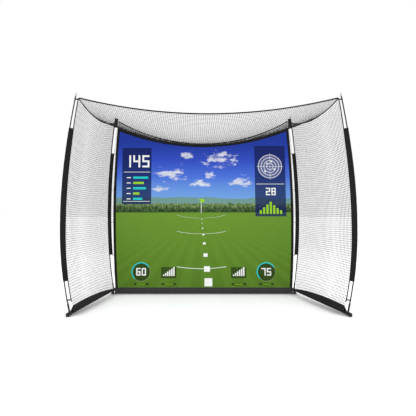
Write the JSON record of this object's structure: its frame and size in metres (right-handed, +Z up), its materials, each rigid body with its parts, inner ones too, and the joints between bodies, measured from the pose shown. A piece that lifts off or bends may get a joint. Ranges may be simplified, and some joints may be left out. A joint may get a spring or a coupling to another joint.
{
  "type": "golf practice net",
  "caption": "Free-standing golf practice bay: bowed poles on a U of ground tubes hold a net roof, sides and back around a printed impact screen; the side frames swing on corner pins.",
  "frame": {"origin": "middle of the footprint's bounding box, on the ground", "axes": "+Z up; +X to the right across the bay seen from its open front; +Y from the open front to the screen"},
  "size_m": [3.3052, 1.3939, 2.4887],
  "materials": {
    "tube_steel": "black powder coat",
    "bright_steel": "zinc plated",
    "ferrule_steel": "dark plated",
    "glass_fibre": "dark pultruded rod",
    "grey_plastic": "moulded light grey",
    "black_rubber": "matt",
    "black_cloth": "plain weave",
    "black_webbing": "ribbed webbing",
    "black_cord": "braided",
    "black_net": "knotless mesh",
    "printed_screen": "tightly woven, printed"
  },
  "bodies": {
    "rear_frame": {"rear_tube_left": "tube_steel", "rear_tube_centre": "tube_steel", "rear_tube_right": "tube_steel", "corner_bracket_left": "tube_steel", "corner_bracket_right": "tube_steel", "hinge_pins": "bright_steel", "corner_feet": "black_rubber", "rear_pole_left": "glass_fibre", "rear_pole_right": "glass_fibre", "rear_ferrules": "ferrule_steel", "rear_tip_caps": "grey_plastic", "rear_sleeve_left": "black_cloth", "rear_sleeve_right": "black_cloth", "rear_pockets": "black_cloth", "back_net": "black_net", "roof_net": "black_net", "roof_front_cord": "black_cord", "back_top_cord": "black_cord", "impact_screen": "printed_screen", "screen_border": "black_webbing", "bottom_flap_left": "black_cloth", "bottom_flap_centre": "black_cloth", "bottom_flap_right": "black_cloth", "screen_ties": "black_cord", "rear_button_springs": "bright_steel"},
    "left_wing": {"hinge_tongue_left": "tube_steel", "side_tube_rear_left": "tube_steel", "side_tube_front_left": "tube_steel", "pole_socket_left": "tube_steel", "foot_cap_left": "black_rubber", "front_pole_left": "glass_fibre", "front_ferrules_left": "ferrule_steel", "front_tip_cap_left": "grey_plastic", "front_sleeve_left": "black_cloth", "edge_cord_left": "black_cord", "corner_loops_left": "black_webbing", "seam_cord_left": "black_cord", "side_net_left": "black_net", "side_skirt_left": "black_cloth", "side_button_spring_left": "bright_steel"},
    "rear_button_left_body": {"rear_button_left": "bright_steel"},
    "side_button_left_body": {"side_button_left": "bright_steel"},
    "right_wing": {"hinge_tongue_right": "tube_steel", "side_tube_rear_right": "tube_steel", "side_tube_front_right": "tube_steel", "pole_socket_right": "tube_steel", "foot_cap_right": "black_rubber", "front_pole_right": "glass_fibre", "front_ferrules_right": "ferrule_steel", "front_tip_cap_right": "grey_plastic", "front_sleeve_right": "black_cloth", "edge_cord_right": "black_cord", "corner_loops_right": "black_webbing", "seam_cord_right": "black_cord", "side_net_right": "black_net", "side_skirt_right": "black_cloth", "side_button_spring_right": "bright_steel"},
    "rear_button_right_body": {"rear_button_right": "bright_steel"},
    "side_button_right_body": {"side_button_right": "bright_steel"}
  },
  "joints": [
    {"name": "left_wing_swing", "type": "hinge", "parent": "rear_frame", "child": "left_wing", "pos_m": [-1.248, 0.396, 0.058], "axis": [0, 0, 1], "range_deg": [0, 15.5], "deforming": ["roof_net", "roof_front_cord"]},
    {"name": "right_wing_swing", "type": "hinge", "parent": "rear_frame", "child": "right_wing", "pos_m": [1.248, 0.396, 0.058], "axis": [0, 0, -1], "range_deg": [0, 15.5], "deforming": ["roof_net", "roof_front_cord"]},
    {"name": "rear_button_left_press", "type": "slide", "parent": "rear_frame", "child": "rear_button_left_body", "axis": [0, 0, -1], "range_m": [0, 0.004], "stiffness_N_per_m": 2500, "springref_m": -0.001, "deforming": ["rear_button_springs"]},
    {"name": "side_button_left_press", "type": "slide", "parent": "left_wing", "child": "side_button_left_body", "axis": [0.9636, -0.2672, 0], "range_m": [0, 0.004], "stiffness_N_per_m": 2500, "springref_m": -0.001, "deforming": ["side_button_spring_left"]},
    {"name": "rear_button_right_press", "type": "slide", "parent": "rear_frame", "child": "rear_button_right_body", "axis": [0, 0, -1], "range_m": [0, 0.004], "stiffness_N_per_m": 2500, "springref_m": -0.001, "deforming": ["rear_button_springs"]},
    {"name": "side_button_right_press", "type": "slide", "parent": "right_wing", "child": "side_button_right_body", "axis": [-0.9636, -0.2672, 0], "range_m": [0, 0.004], "stiffness_N_per_m": 2500, "springref_m": -0.001, "deforming": ["side_button_spring_right"]}
  ]
}
